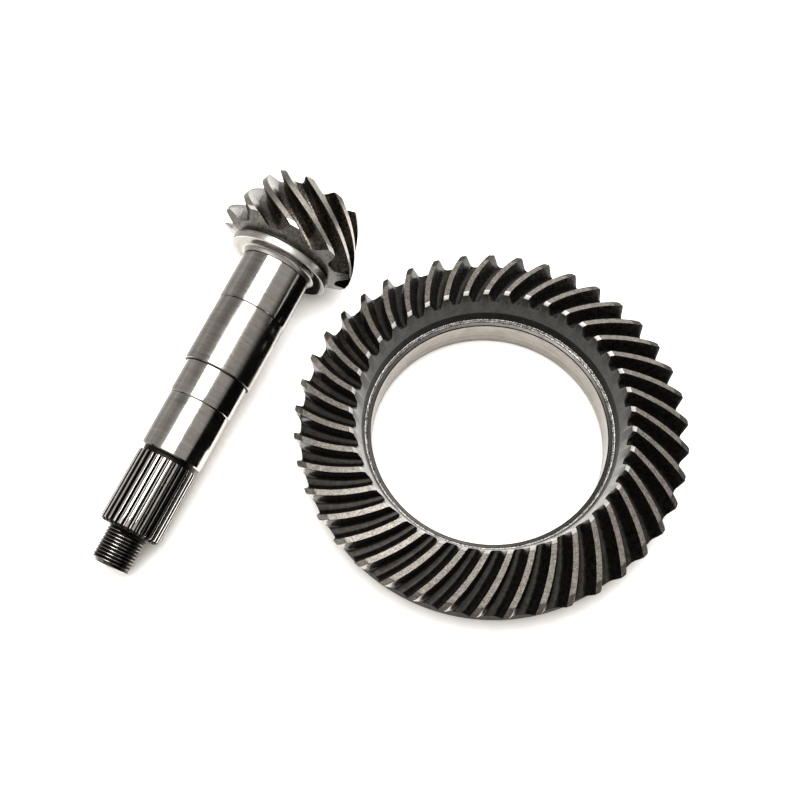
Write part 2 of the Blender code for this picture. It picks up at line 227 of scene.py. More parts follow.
# Patches of the world: direction, the angles from it where the patch starts to fade and ends, and strength,
# which is below 0 where a patch darkens. The first is the whole dome, down to a dark horizon.
WORLD_DOME = ((0.0, 0.0, 1.0), 64, 85, 0.46)
WORLD_LOBES = (
    ((0.40, 0.78, 0.53), 12, 32, 0.7),
    ((-0.50, 0.58, 0.69), 8, 24, -0.23),
    ((-0.68, -0.26, 0.68), 8, 26, 0.9),
)

# Cards that only reflections see, placed from the shaft's threaded end; the dark ones on the floor by the
# ring and under the collar are painted shadows. Each has a name, its start and end across the shaft, the
# heights there, its start and end along the shaft, and a grey.
CARDS = (
    ("card_beside_shaft", (0.044, 0.044), (0.0006, 0.045), (-0.02, 0.215), 0.003),
    ("card_painted_ring_shadow", (0.035, 0.044), (0.0006, 0.0006), (0.085, 0.215), 0.01),
    ("card_painted_collar_shadow", (-0.037, 0.018), (0.0006, 0.0006), (0.158, 0.200), 0.01),
    ("card_near_left", (-0.140, -0.066), (0.0006, 0.0006), (-0.30, 0.50), 0.75),
    ("card_far_left", (-2.400, -0.140), (0.0006, 0.0006), (-1.00, 1.50), 0.44),
    ("card_left_wall", (-2.400, -2.400), (0.8, 0.0), (-1.50, 2.50), 0.50),
)

# Card where the camera stands: width, depth, the share of the width left of the lens, gap behind it, grey
CAMERA_CARD = (0.26, 0.18, 0.58, 0.02, 0.01)


def mix(pair, u):
    """Straight-line value between the two values of a pair."""
    return pair[0] + (pair[1] - pair[0]) * u


def smooth(x):
    """0 below 0, 1 above 1, and a smooth rise between them."""
    x = min(1.0, max(0.0, x))
    return x * x * (3 - 2 * x)


class Skin:
    """Collects rows of points and the faces between them, with one finish for each face."""

    def __init__(self):
        self.points = []
        self.lay = []
        self.faces = []
        self.finish = []

    def row(self, places, lay):
        """One row from (radius, angle, height) places, whose angles rise through one turn."""
        start = len(self.points)
        for radius, angle, height in places:
            self.points.append((radius * math.cos(angle) * MM, radius * math.sin(angle) * MM, height * MM))
        self.lay += lay
        angles = [place[1] for place in places]
        return list(zip(range(start, start + len(places)), angles))

    def turned(self, radius, height, angles, wobble=0.0):
        """A circle, whose points may stray from it by wobble."""
        places = []
        for angle in angles:
            stray = 0.0
            if wobble:
                spot = Vector((math.cos(angle), math.sin(angle), height)) * WOBBLE_SCALE
                stray = wobble * noise.noise(spot)
            places.append((radius + stray, angle, height + stray))
        lay = [(radius * MM * (angle - angles[0]), height * MM, LAY_TURNED) for angle in angles]
        return self.row(places, lay)

    def face(self, corners, finish):
        self.faces.append(corners)
        self.finish.append(finish)

    def join(self, first, second, finish):
        """Joins two rows. finish is one index, or one for each column of the rows."""
        count, other = len(first), len(second)
        if count == other:
            for i in range(count):
                k = (i + 1) % count
                kind = finish if isinstance(finish, int) else finish[i]
                self.face((first[i][0], first[k][0], second[k][0], second[i][0]), kind)
            return
        i = j = 0
        while i < count or j < other:
            next_first = first[(i + 1) % count][1] + TURN * ((i + 1) // count)
            next_second = second[(j + 1) % other][1] + TURN * ((j + 1) // other)
            here = first[i % count][0]
            there = second[j % other][0]
            if j == other or (i < count and next_first <= next_second):
                self.face((here, first[(i + 1) % count][0], there), finish)
                i += 1
            else:
                self.face((here, second[(j + 1) % other][0], there), finish)
                j += 1

    def cap(self, row, height, finish):
        """Closes a row with a fan to a point on the axis."""
        self.points.append((0.0, 0.0, height * MM))
        self.lay.append((0.0, height * MM, LAY_TURNED))
        tip = len(self.points) - 1
        for i in range(len(row)):
            self.face((row[i][0], row[(i + 1) % len(row)][0], tip), finish)

    def object(self, name, finishes, pose):
        """A mesh object of the collected faces at its pose, with outward normals.
        The attribute own keeps each point's place on the gear itself, and lay the marks' direction."""
        data = bpy.data.meshes.new(name)
        data.from_pydata([pose @ Vector(point) for point in self.points], [], self.faces)
        for material in finishes:
            data.materials.append(material)
        data.polygons.foreach_set("material_index", self.finish)
        lay = data.attributes.new("lay", "FLOAT_VECTOR", "POINT")
        lay.data.foreach_set("vector", [value for spot in self.lay for value in spot])
        own = data.attributes.new("own", "FLOAT_VECTOR", "POINT")
        own.data.foreach_set("vector", [value for spot in self.points for value in spot])
        data.validate()
        turn_outwards(data)
        data.shade_smooth()
        data.set_sharp_from_angle(angle=math.radians(SHARP_ANGLE))
        part = bpy.data.objects.new(name, data)
        bpy.context.scene.collection.objects.link(part)
        return part


def turn_outwards(data):
    """Turns every face of a closed mesh outwards."""
    shell = bmesh.new()
    shell.from_mesh(data)
    bmesh.ops.recalc_face_normals(shell, faces=shell.faces)
    shell.to_mesh(data)
    shell.free()


def even_angles(count, start=0.0):
    """Angles spaced evenly round one turn."""
    return [start + TURN * k / count for k in range(count)]


# --- materials ---------------------------------------------------------------------------------

# Dark specks on lapped steel and on ground steel, glints in a coat, and how far in metres the marks that run
# round an axis drift with the angle
SPECK = (0.03, 0.027, 0.024)
GROUND_SPECK = (0.04, 0.033, 0.027)
GLINT = (0.75, 0.69, 0.60)
ANGLE_DRIFT = 0.012


class Finish:
    """A Principled material with short calls for the nodes that drive it."""

    def __init__(self, name, metallic, specular=0.5, coat=0.0, coat_roughness=0.1):
        self.material = bpy.data.materials.new(name)
        self.material.use_nodes = True
        self.tree = self.material.node_tree
        self.shader = self.tree.nodes["Principled BSDF"]
        self.shader.inputs["Metallic"].default_value = metallic
        self.shader.inputs["Specular IOR Level"].default_value = specular
        self.shader.inputs["Coat Weight"].default_value = coat
        self.shader.inputs["Coat Roughness"].default_value = coat_roughness
        self.spot = self.attribute("own")

    def link(self, source, target):
        if isinstance(source, (int, float)):
            target.default_value = source
        elif isinstance(source, tuple):
            target.default_value = (*source, 1.0) if len(target.default_value) == 4 else source
        else:
            self.tree.links.new(source, target)

    def math(self, operation, first, second=0.0, third=0.0, clamp=False):
        node = self.tree.nodes.new("ShaderNodeMath")
        node.operation = operation
        node.use_clamp = clamp
        for socket, value in zip(node.inputs, (first, second, third)):
            self.link(value, socket)
        return node.outputs[0]

    def stretch(self, vector, factors):
        """The vector times a factor for each axis."""
        node = self.tree.nodes.new("ShaderNodeVectorMath")
        node.operation = "MULTIPLY"
        self.link(vector, node.inputs[0])
        node.inputs[1].default_value = factors
        return node.outputs["Vector"]

    def attribute(self, name):
        """A vector stored in the mesh: own is the place on the gear, lay is along and across a tooth."""
        node = self.tree.nodes.new("ShaderNodeAttribute")
        node.attribute_name = name
        return node.outputs["Vector"]

    def turned(self):
        """Radius, height and a little of the angle about the axis, for marks that run round it."""
        split = self.tree.nodes.new("ShaderNodeSeparateXYZ")
        self.link(self.spot, split.inputs[0])
        across = self.math("MULTIPLY", split.outputs["X"], split.outputs["X"])
        square = self.math("MULTIPLY_ADD", split.outputs["Y"], split.outputs["Y"], across)
        join = self.tree.nodes.new("ShaderNodeCombineXYZ")
        self.link(self.math("SQRT", square), join.inputs["X"])
        self.link(split.outputs["Z"], join.inputs["Y"])
        turn = self.math("ARCTAN2", split.outputs["Y"], split.outputs["X"])
        self.link(self.math("MULTIPLY", self.math("COSINE", turn), ANGLE_DRIFT), join.inputs["Z"])
        return join.outputs[0]

    def noise(self, vector, scale, detail=3.0, roughness=0.55, distortion=0.0):
        node = self.tree.nodes.new("ShaderNodeTexNoise")
        self.link(vector, node.inputs["Vector"])
        node.inputs["Scale"].default_value = scale
        node.inputs["Detail"].default_value = detail
        node.inputs["Roughness"].default_value = roughness
        node.inputs["Distortion"].default_value = distortion
        return node.outputs["Fac"]

    def levels(self, source, low, high, to_low=0.0, to_high=1.0):
        """Maps low..high to to_low..to_high, and holds the ends."""
        node = self.tree.nodes.new("ShaderNodeMapRange")
        self.link(source, node.inputs["Value"])
        node.inputs["From Min"].default_value = low
        node.inputs["From Max"].default_value = high
        node.inputs["To Min"].default_value = to_low
        node.inputs["To Max"].default_value = to_high
        return node.outputs["Result"]

    def blend(self, factor, first, second):
        node = self.tree.nodes.new("ShaderNodeMix")
        node.data_type = "RGBA"
        self.link(factor, node.inputs[0])
        self.link(first, node.inputs[6])
        self.link(second, node.inputs[7])
        return node.outputs[2]

    def grazing(self):
        """0 where a surface faces the eye, and 1 where it is seen along."""
        node = self.tree.nodes.new("ShaderNodeLayerWeight")
        node.inputs["Blend"].default_value = 0.5
        return node.outputs["Facing"]

    def colour(self, source):
        self.link(source, self.shader.inputs["Base Color"])

    def roughness(self, source):
        self.link(source, self.shader.inputs["Roughness"])

    def bump(self, height, distance, strength=1.0):
        node = self.tree.nodes.new("ShaderNodeBump")
        node.inputs["Strength"].default_value = strength
        node.inputs["Distance"].default_value = distance
        self.link(height, node.inputs["Height"])
        if self.shader.inputs["Normal"].is_linked:
            self.link(self.shader.inputs["Normal"].links[0].from_socket, node.inputs["Normal"])
        self.link(node.outputs[0], self.shader.inputs["Normal"])


def coated(name, dark, light, gloss, metallic=0.7, mottle=260, marks=0.3, relief=0.000012, oil=0.0,
           specular=0.5, painted_sheen=None, sparkle=0.0):
    """Phosphated steel: mottled, with a fine crystalline grain, the tooth cutter's marks and a film of oil.
    A painted sheen is a lighter colour blended into the coat where it is seen along, standing in for its
    reflection."""
    finish = Finish(name, metallic, specular=specular, coat=oil, coat_roughness=0.12)
    cloud = finish.levels(finish.noise(finish.spot, mottle, 4.0, 0.6), 0.36, 0.66)
    grain = finish.noise(finish.spot, 4200, 2.0)
    streak = finish.noise(finish.stretch(finish.attribute("lay"), (60, 2600, 40)), 1.0, 2.0)
    mixed = finish.math("MULTIPLY_ADD", finish.levels(streak, 0.3, 0.7, -0.5, 0.5), marks, cloud)
    base = finish.blend(finish.math("ADD", mixed, 0.0, clamp=True), dark, light)
    # painted sheen: the base colour turns lighter at grazing angles
    if painted_sheen:
        base = finish.blend(finish.levels(finish.grazing(), 0.52, 0.80), base, painted_sheen)
    if sparkle:
        glint = finish.levels(finish.noise(finish.spot, 2300, 1.0), 0.70, 0.76, 0.0, sparkle)
        base = finish.blend(glint, base, GLINT)
    finish.colour(base)
    shine = finish.levels(cloud, 0.0, 1.0, gloss - 0.06, gloss + 0.08)
    finish.roughness(finish.math("MULTIPLY_ADD", finish.levels(grain, 0.3, 0.7, -0.5, 0.5), 0.16, shine))
    finish.bump(grain, relief)
    finish.bump(streak, relief * 1.6 * marks)
    return finish.material


def lapped(name, dark, light, gloss, along=45, across=3800, specks=0.5, metallic=1.0, glitter=0.35):
    """Bare machined steel with fine marks along the tooth, a coarse sparkle and small dark specks."""
    finish = Finish(name, metallic)
    streak = finish.noise(finish.stretch(finish.attribute("lay"), (along, across, 50)), 1.0, 3.0, 0.6)
    cloud = finish.noise(finish.spot, 420, 3.0)
    grit = finish.noise(finish.spot, 1700, 2.0, 0.7)
    spot = finish.levels(finish.noise(finish.spot, 2600, 1.0), 0.72, 0.78, 0.0, specks)
    tone = finish.math("MULTIPLY_ADD", streak, 0.6, finish.math("MULTIPLY", cloud, 0.5))
    tone = finish.levels(tone, 0.38, 0.72)
    tone = finish.math("MULTIPLY_ADD", finish.levels(grit, 0.35, 0.65, -0.5, 0.5), glitter, tone)
    base = finish.blend(finish.math("ADD", tone, 0.0, clamp=True), dark, light)
    finish.colour(finish.blend(spot, base, SPECK))
    finish.roughness(finish.levels(streak, 0.3, 0.7, gloss - 0.07, gloss + 0.08))
    finish.bump(streak, 0.000009)
    finish.bump(grit, 0.00003 * glitter)
    return finish.material


def ground(name, dark, light, gloss, lines=5200, depth=0.0000016, stain=0.35, specks=0.25):
    """Steel turned or ground round its axis: fine rings, faint stains and a few dark specks."""
    finish = Finish(name, 1.0)
    rings = finish.noise(finish.stretch(finish.turned(), (lines, lines, 900)), 1.0, 3.0, 0.65)
    bands = finish.noise(finish.stretch(finish.turned(), (420, 420, 60)), 1.0, 2.0)
    cloud = finish.levels(finish.noise(finish.spot, 130, 4.0, 0.6, 0.4), 0.42, 0.68)
    spot = finish.levels(finish.noise(finish.spot, 1900, 1.0), 0.74, 0.79, 0.0, specks)
    tone = finish.math("MULTIPLY_ADD", rings, 0.5, finish.math("MULTIPLY", bands, 0.5))
    tone = finish.math("MULTIPLY_ADD", cloud, -stain, finish.levels(tone, 0.36, 0.64), clamp=True)
    base = finish.blend(tone, dark, light)
    finish.colour(finish.blend(spot, base, GROUND_SPECK))
    shine = finish.levels(rings, 0.3, 0.7, gloss - 0.035, gloss + 0.045)
    finish.roughness(finish.math("MULTIPLY_ADD", cloud, 0.05, shine))
    finish.bump(rings, depth)
    return finish.material


def ring_finishes():
    """The ring gear's finishes, in the order of their indices below."""
    return [
        coated("flank_black", (0.007, 0.0066, 0.006), (0.022, 0.0195, 0.016), 0.30, mottle=420, oil=0.35,
               specular=0.3),
        lapped("topland_grey", (0.16, 0.147, 0.132), (0.48, 0.445, 0.40), 0.36, specks=0.8, glitter=1.6),
        # The toe chamfer is bare steel painted near-white with a diffuse share: partly its own colour,
        # partly a painted highlight.
        lapped("toe_chamfer_painted_highlight", (0.60, 0.58, 0.55), (0.88, 0.87, 0.85), 0.40, specks=0.9, metallic=0.6),
        lapped("heel_facet", (0.08, 0.074, 0.066), (0.27, 0.25, 0.225), 0.28, across=3000, specks=0.8,
               glitter=1.2),
        lapped("root_land", (0.03, 0.027, 0.024), (0.09, 0.081, 0.073), 0.34),
        # The toe cone's painted sheen lightens its colour where it is seen along.
        coated("toe_cone", (0.014, 0.013, 0.012), (0.034, 0.031, 0.027), 0.36, marks=0.0, oil=0.25,
               specular=0.25, painted_sheen=(0.27, 0.262, 0.25)),
        # The fillet under the toe cone is painted near-black: painted shade where the lip shades the hollow.
        coated("fillet_painted_shade", (0.003, 0.0028, 0.0025), (0.008, 0.0074, 0.0066), 0.3, marks=0.0,
               specular=0.1),
        lapped("lip_bright", (0.05, 0.047, 0.044), (1.0, 0.99, 0.97), 0.24, along=240, across=900,
               glitter=2.2),
        ground("lip_ring", (0.10, 0.095, 0.088), (0.24, 0.228, 0.21), 0.26),
        # The lip groove, the bore groove and the bore's foot are painted near-black: painted shade, with a
        # painted contact shadow at the foot.
        coated("groove_painted_shade", (0.003, 0.003, 0.0026), (0.008, 0.0073, 0.0065), 0.4, marks=0.0, specular=0.1),
        ground("bore_wall", (0.20, 0.185, 0.165), (0.34, 0.315, 0.285), 0.22, specks=0.9),
        coated("rim_coat", (0.006, 0.0056, 0.005), (0.018, 0.016, 0.014), 0.5, metallic=0.0, marks=0.0,
               specular=0.1),
        ground("back_face", (0.27, 0.25, 0.225), (0.44, 0.41, 0.375), 0.30, stain=0.5),
        # A bare-steel patch, much brighter than the flank's coat, painted down one flank at the heel as a
        # reflection.
        lapped("heel_painted_reflection", (0.30, 0.283, 0.258), (0.62, 0.59, 0.545), 0.40, specks=0.8),
    ]


FLANK_COAT, LAND, TOE_CUT, HEEL_FACET, ROOT, CONE, FILLET_SHADE, LIP_EDGE, LIP_FACE, GROOVE = range(10)
BORE_WALL, RIM_COAT, BACK_FACE, HEEL_REFLECTION = range(10, 14)


# --- ring gear ---------------------------------------------------------------------------------

def tooth_trace(radius):
    """Angle of a tooth trace in radians, the arc of a round cutter rolled onto the face cone."""
    run = RING_HEEL_TIP[0] - RING_TOE_CHAMFER[0]
    fall = RING_TOE_CHAMFER[1] - RING_HEEL_TIP[1]
    cone_sine = run / math.hypot(run, fall)
    mean = RING_MEAN_RADIUS / cone_sine
    lean = math.sin(math.radians(RING_MEAN_SPIRAL))
    centre = math.sqrt(mean ** 2 + CUTTER_RADIUS ** 2 - 2 * mean * CUTTER_RADIUS * lean)

    def opening(distance):
        square = distance ** 2 + centre ** 2 - CUTTER_RADIUS ** 2
        return math.acos(square / (2 * distance * centre))

    return (opening(radius / cone_sine) - opening(mean)) / cone_sine


def tooth_columns(teeth, tip, root, trace, tip_half, root_half, along):
    """Places across every tooth of a gear: its topland, one flank, and the next tooth's other flank."""
    pitch = TURN / teeth
    places = []
    lay = []
    gap = pitch / 2 - tip_half - root_half
    span = (tip[0] + root[0]) / 2 * pitch
    for k in range(teeth):
        centre = trace + pitch * k
        across = []
        for share in TOPLAND:
            places.append((tip[0], centre + share * tip_half, tip[1]))
            across.append((share + 1) * LAY_TOPLAND_HALF)
        for width, depth in FLANK:
            spot = centre + tip_half + gap * width
            places.append((mix((tip[0], root[0]), depth), spot, mix((tip[1], root[1]), depth)))
            across.append(LAY_FLANK + LAY_FLANK_DEPTH * depth)
        for width, depth in reversed(FLANK):
            spot = centre + pitch - tip_half - gap * width
            places.append((mix((tip[0], root[0]), depth), spot, mix((tip[1], root[1]), depth)))
            across.append(LAY_NEXT_FLANK - LAY_FLANK_DEPTH * depth)
        lay += [(along * MM, (k + share) * span * LAY_WIDTH * MM, k * LAY_TOOTH_STEP) for share in across]
    return places, lay


def column_finishes(teeth, land, flank, root, painted_reflection=0, reflection_columns=0):
    """A finish for each column of tooth_columns, counted from the topland's first point.
    A painted reflection takes the first columns of one flank."""
    run = len(FLANK)
    first = [painted_reflection] * reflection_columns + [flank] * (run - reflection_columns)
    one = [land] * (len(TOPLAND) - 1) + first + [root] + [flank] * run
    return one * teeth


def row_angles(row):
    """The angles of a row's points about the axis."""
    return [angle for _index, angle in row]


def narrowed(u, start, amount):
    """Share of a topland's width left at u, where it narrows from start to the end of the tooth."""
    return 1 - amount * max(0.0, (u - start) / (1 - start)) ** 2


def ring_tooth_row(skin, u):
    """One row across all the teeth, at u from the toe (0) to the heel (1)."""
    tip_radius = mix((RING_TOE_CHAMFER[0], RING_HEEL_TIP[0]), u)
    tip_height = mix((RING_TOE_CHAMFER[1], RING_HEEL_TIP[1]), u)
    facet = max(0.0, (u - FACET_START) / (1 - FACET_START))
    tip = (tip_radius, tip_height - FACET_DROP * facet)
    root = (mix((RING_TOE_ROOT[0], RING_HEEL_ROOT[0]), u), mix((RING_TOE_ROOT[1], RING_HEEL_ROOT[1]), u))
    trace = math.radians(RING_PHASE) + tooth_trace(tip_radius)
    tip_half = math.radians(mix(RING_TOPLAND_HALF, u)) * narrowed(u, HEEL_NARROWS, HEEL_NARROWING)
    root_half = math.radians(mix(RING_ROOTLAND_HALF, u))
    along = tip_radius * RING_LAY_LENGTH
    return skin.row(*tooth_columns(RING_TEETH, tip, root, trace, tip_half, root_half, along))


def ring_toe_row(skin, back_off):
    """The row where the teeth meet the toe cone, inside the chamfers of their toplands."""
    tip = [at - back_off * step for at, step in zip(RING_TOE_TIP, TOE_TIP_STEP)]
    root = [
        at - drop - back_off * step for at, drop, step in zip(RING_TOE_ROOT, TOE_ROOT_DROP, TOE_ROOT_STEP)
    ]
    trace = math.radians(RING_PHASE) + tooth_trace(RING_TOE_TIP[0])
    tip_half = math.radians(RING_TOPLAND_HALF[0])
    root_half = math.radians(RING_ROOTLAND_HALF[0])
    along = RING_TOE_TIP[0] * RING_LAY_LENGTH
    return skin.row(*tooth_columns(RING_TEETH, tip, root, trace, tip_half, root_half, along))


def ring_teeth(skin):
    """All the teeth, from the toe cone to the heel. Returns their first row and their last."""
    toe_rows = [ring_toe_row(skin, TOE_BACK_OFF), ring_toe_row(skin, 0.0)]
    stations = [k / (RING_STATIONS - 1) for k in range(RING_STATIONS)]
    stations = [mix((u, smooth(u)), STATION_EASING) for u in stations]
    rows = [ring_tooth_row(skin, u) for u in stations]
    skin.join(toe_rows[0], toe_rows[1], column_finishes(RING_TEETH, TOE_CUT, CONE, CONE))
    skin.join(toe_rows[1], rows[0], column_finishes(RING_TEETH, TOE_CUT, FLANK_COAT, ROOT))
    for k in range(RING_STATIONS - 1):
        land = HEEL_FACET if stations[k] >= FACET_START - FACET_MARGIN else LAND
        # the painted reflection widens down one flank towards the heel
        painted_reflection = max(0.0, (stations[k + 1] - REFLECTION_START) / (1 - REFLECTION_START))
        columns = column_finishes(RING_TEETH, land, FLANK_COAT, ROOT, HEEL_REFLECTION, round(painted_reflection * REFLECTION_COLUMNS))
        skin.join(rows[k], rows[k + 1], columns)
    return toe_rows[0], rows[-1]


def ring_inside(skin, toe_row):
    """Down the toe cone, over the lip and down the bore. Returns the bore's mouth in the back face."""
    angles = row_angles(toe_row)
    above = skin.turned(*TOE_CONE_FOOT, angles)
    skin.join(above, toe_row, CONE)
    # The fillet, the grooves and the bore's foot are finished in painted shade.
    for section, finish, wobble in (
        (FILLET, FILLET_SHADE, FILLET_WOBBLE), (LIP, LIP_EDGE, LIP_WOBBLE), (LIP_GROOVE, GROOVE, 0.0),
        (LIP_RING, LIP_FACE, 0.0), (BORE_GROOVE, GROOVE, 0.0), (BORE, BORE_WALL, 0.0),
        (BORE_EDGE, GROOVE, 0.0),
    ):
        for radius, height in section:
            below = skin.turned(radius, height, even_angles(RING_COLUMNS, angles[0]), wobble)
            skin.join(below, above, finish)
            above = below
    return above


def ring_outside(skin, heel_row):
    """Down the heel's back cone and the rim. Returns the rim's edge in the back face."""
    angles = row_angles(heel_row)
    above = skin.turned(*RIM[0], angles)
    skin.join(heel_row, above, RIM_COAT)
    for radius, height in RIM[1:]:
        below = skin.turned(radius, height, even_angles(RING_COLUMNS, angles[0]))
        skin.join(above, below, RIM_COAT)
        above = below
    return above


def tapped_hole(skin, angle):
    """One tapped hole, from its countersink in the back face to the drill point. Returns its mouth."""
    centre = (BOLT_CIRCLE_RADIUS * math.cos(angle), BOLT_CIRCLE_RADIUS * math.sin(angle))
    rows = []

    def circle(radius, height, thread=0.0):
        """A circle round the hole, cut into its wall by a share of the thread's depth."""
        start = len(skin.points)
        for k in range(BOLT_HOLE_SIDES):
            turn = TURN * k / BOLT_HOLE_SIDES
            lead = (height / BOLT_PITCH - k / BOLT_HOLE_SIDES) % 1.0
            reach = radius + thread * BOLT_THREAD_DEPTH * (1 - abs(2 * lead - 1))
            x = centre[0] + reach * math.cos(turn)
            y = centre[1] + reach * math.sin(turn)
            skin.points.append((x * MM, y * MM, height * MM))
            skin.lay.append((turn * reach * MM, height * MM, LAY_BOLT_HOLE))
        rows.append(list(zip(range(start, start + BOLT_HOLE_SIDES), even_angles(BOLT_HOLE_SIDES))))

    circle(BOLT_HOLE_RADIUS + COUNTERSINK, 0.0)
    circle(BOLT_HOLE_RADIUS, COUNTERSINK)
    last = BOLT_THREAD_ROWS - 1
    for step in range(BOLT_THREAD_ROWS):
        height = mix(BOLT_THREAD_ENDS, step / last)
        circle(BOLT_HOLE_RADIUS, height, min(1.0, (last - step) / BOLT_FADE_ROWS))
    circle(BOLT_HOLE_RADIUS, BOLT_HOLE_DEPTH - DRILL_POINT)
    for first, second in zip(rows, rows[1:]):
        skin.join(first, second, RIM_COAT)
    skin.points.append((centre[0] * MM, centre[1] * MM, BOLT_HOLE_DEPTH * MM))
    skin.lay.append((0.0, BOLT_HOLE_DEPTH * MM, LAY_BOLT_HOLE))
    tip = len(skin.points) - 1
    wall = rows[-1]
    for k in range(BOLT_HOLE_SIDES):
        skin.face((wall[k][0], wall[(k + 1) % BOLT_HOLE_SIDES][0], tip), RIM_COAT)
    return rows[0]


def fill_back(skin, inner, outer, holes):
    """The flat back face between two circles, cut round the mouths of the holes."""
    loops = [inner, outer] + holes
    ids = [index for loop in loops for index, _angle in loop]
    flat = [Vector(skin.points[index][:2]) / MM for index in ids]
    edges = []
    start = 0
    for loop in loops:
        count = len(loop)
        edges += [(start + k, start + (k + 1) % count) for k in range(count)]
        start += count
    spots, _edges, faces, origins = geometry.delaunay_2d_cdt(flat, edges, [], 0, CUT_TOLERANCE)[:4]
    bore_reach = min(spot.length for spot in flat) - TOLERANCE
    mouth_reach = BOLT_HOLE_RADIUS + COUNTERSINK
    turns = even_angles(BOLT_HOLES)
    centres = [Vector((math.cos(turn), math.sin(turn))) * BOLT_CIRCLE_RADIUS for turn in turns]
    for corners in faces:
        middle = sum((spots[corner] for corner in corners), Vector((0, 0))) / len(corners)
        over_hole = any((middle - centre).length < mouth_reach for centre in centres)
        if middle.length >= bore_reach and not over_hole:
            skin.face(tuple(ids[origins[corner][0]] for corner in reversed(corners)), BACK_FACE)


def make_ring_gear():
    skin = Skin()
    toe_row, heel_row = ring_teeth(skin)
    bore_mouth = ring_inside(skin, toe_row)
    rim_edge = ring_outside(skin, heel_row)
    holes = [tapped_hole(skin, angle) for angle in even_angles(BOLT_HOLES)]
    fill_back(skin, bore_mouth, rim_edge, holes)
    low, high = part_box("ring_gear")
    place = Vector(((low[0] + high[0]) / 2, (low[1] + high[1]) / 2, 0.0))
    return skin.object("hypoid_ring_gear", ring_finishes(), Matrix.Translation(place))


# --- drive pinion ------------------------------------------------------------------------------

def pinion_finishes():
    """The pinion's finishes, in the order of their indices below."""
    return [
        ground("seat_ground", (0.46, 0.43, 0.40), (0.62, 0.59, 0.55), 0.12, stain=0.3, specks=0.5),
        ground("barrel_turned", (0.40, 0.37, 0.34), (0.56, 0.53, 0.49), 0.17, lines=3600, specks=0.5),
        # Grooves, undercuts, the spline's nose and the centre holes are painted near-black: painted shade in
        # the recesses.
        ground("shaft_groove_painted_shade", (0.008, 0.0074, 0.0065), (0.03, 0.027, 0.024), 0.45),
        lapped("spline_land", (0.60, 0.575, 0.54), (0.92, 0.89, 0.85), 0.12, glitter=0.2),
        ground("thread_crest", (0.40, 0.38, 0.35), (0.72, 0.69, 0.65), 0.22),
        ground("collar_polished", (0.50, 0.47, 0.44), (0.72, 0.69, 0.65), 0.30),
        coated("neck_dark", (0.010, 0.009, 0.008), (0.030, 0.027, 0.024), 0.38, marks=0.0),
        coated("head_flank", (0.028, 0.024, 0.020), (0.13, 0.112, 0.091), 0.30, metallic=1.0, mottle=900,
               marks=0.6, oil=0.4, sparkle=0.8),
        lapped("head_topland", (0.26, 0.24, 0.215), (0.52, 0.485, 0.44), 0.32, glitter=0.7),
        # The heel chamfer is bare steel painted near-white with a diffuse share: partly its own colour,
        # partly a painted highlight.
        lapped("heel_chamfer_painted_highlight", (0.70, 0.68, 0.65), (0.95, 0.94, 0.92), 0.36, metallic=0.6),
        coated("head_back", (0.10, 0.092, 0.080), (0.22, 0.204, 0.18), 0.30, mottle=500, marks=0.0, oil=0.2),
        ground("end_face", (0.22, 0.20, 0.18), (0.40, 0.37, 0.34), 0.30, stain=0.5),
        # The sides of the spline's teeth are painted near-black: painted shade between the teeth.
        lapped("spline_space_painted_shade", (0.006, 0.0056, 0.005), (0.03, 0.027, 0.024), 0.30),
        # The thread's flanks and roots and the plain stretches at its ends are painted near-black: painted
        # shade in the thread's grooves.
        ground("thread_root_painted_shade", (0.008, 0.0074, 0.0065), (0.04, 0.036, 0.032), 0.34),
        lapped("spline_root", (0.12, 0.112, 0.10), (0.30, 0.28, 0.255), 0.2),
        ground("collar_face", (0.20, 0.187, 0.17), (0.36, 0.34, 0.31), 0.16),
    ]


SEAT, BARREL, SHAFT_GROOVE_SHADE, SPLINE, THREAD, COLLAR, NECK, HEAD_FLANK, HEAD_LAND, HEEL_CUT = range(10)
HEAD_BACK, END_FACE, SPLINE_SPACE_SHADE, THREAD_ROOT_SHADE, SPLINE_ROOT, COLLAR_FACE = range(10, 16)

# Turned section of the shaft: (radius, distance from the threaded end, finish of the surface up to it)
# The grooves and undercuts take the painted shade.
UNDERCUT = (
    (15.3, 62.8, SHAFT_GROOVE_SHADE), (15.2, 63.4, SHAFT_GROOVE_SHADE), (15.2, 65.2, SHAFT_GROOVE_SHADE),
    (15.4, 65.6, SHAFT_GROOVE_SHADE),
)
OUTER_SEAT = (
    (17.3, 65.6, SEAT), (17.55, 65.7, SEAT), (18.0, 66.4, SEAT), (18.0, 75.0, SEAT), (18.0, 90.0, SEAT),
    (18.0, 97.9, SEAT), (17.93, 98.05, SHAFT_GROOVE_SHADE), (17.97, 98.2, SHAFT_GROOVE_SHADE),
)
PRESS_SEAT = (
    (18.45, 98.7, SEAT), (18.5, 99.0, SEAT), (18.5, 110.0, SEAT), (18.5, 117.8, SEAT),
    (18.38, 118.0, SHAFT_GROOVE_SHADE), (18.45, 118.3, SHAFT_GROOVE_SHADE), (19.6, 118.3, SHAFT_GROOVE_SHADE),
)
BARREL_STRETCH = (
    (19.9, 118.42, BARREL), (20.25, 118.9, BARREL), (20.25, 130.0, BARREL), (20.25, 145.0, BARREL),
    (20.25, 158.5, BARREL), (20.18, 158.65, SHAFT_GROOVE_SHADE), (20.2, 158.85, SHAFT_GROOVE_SHADE),
)
INNER_SEAT = (
    (20.5, 159.2, SEAT), (20.5, 170.0, SEAT), (20.5, 180.0, SEAT), (20.5, 188.4, SEAT),
    (20.36, 188.6, SHAFT_GROOVE_SHADE), (20.4, 189.0, SHAFT_GROOVE_SHADE),
)
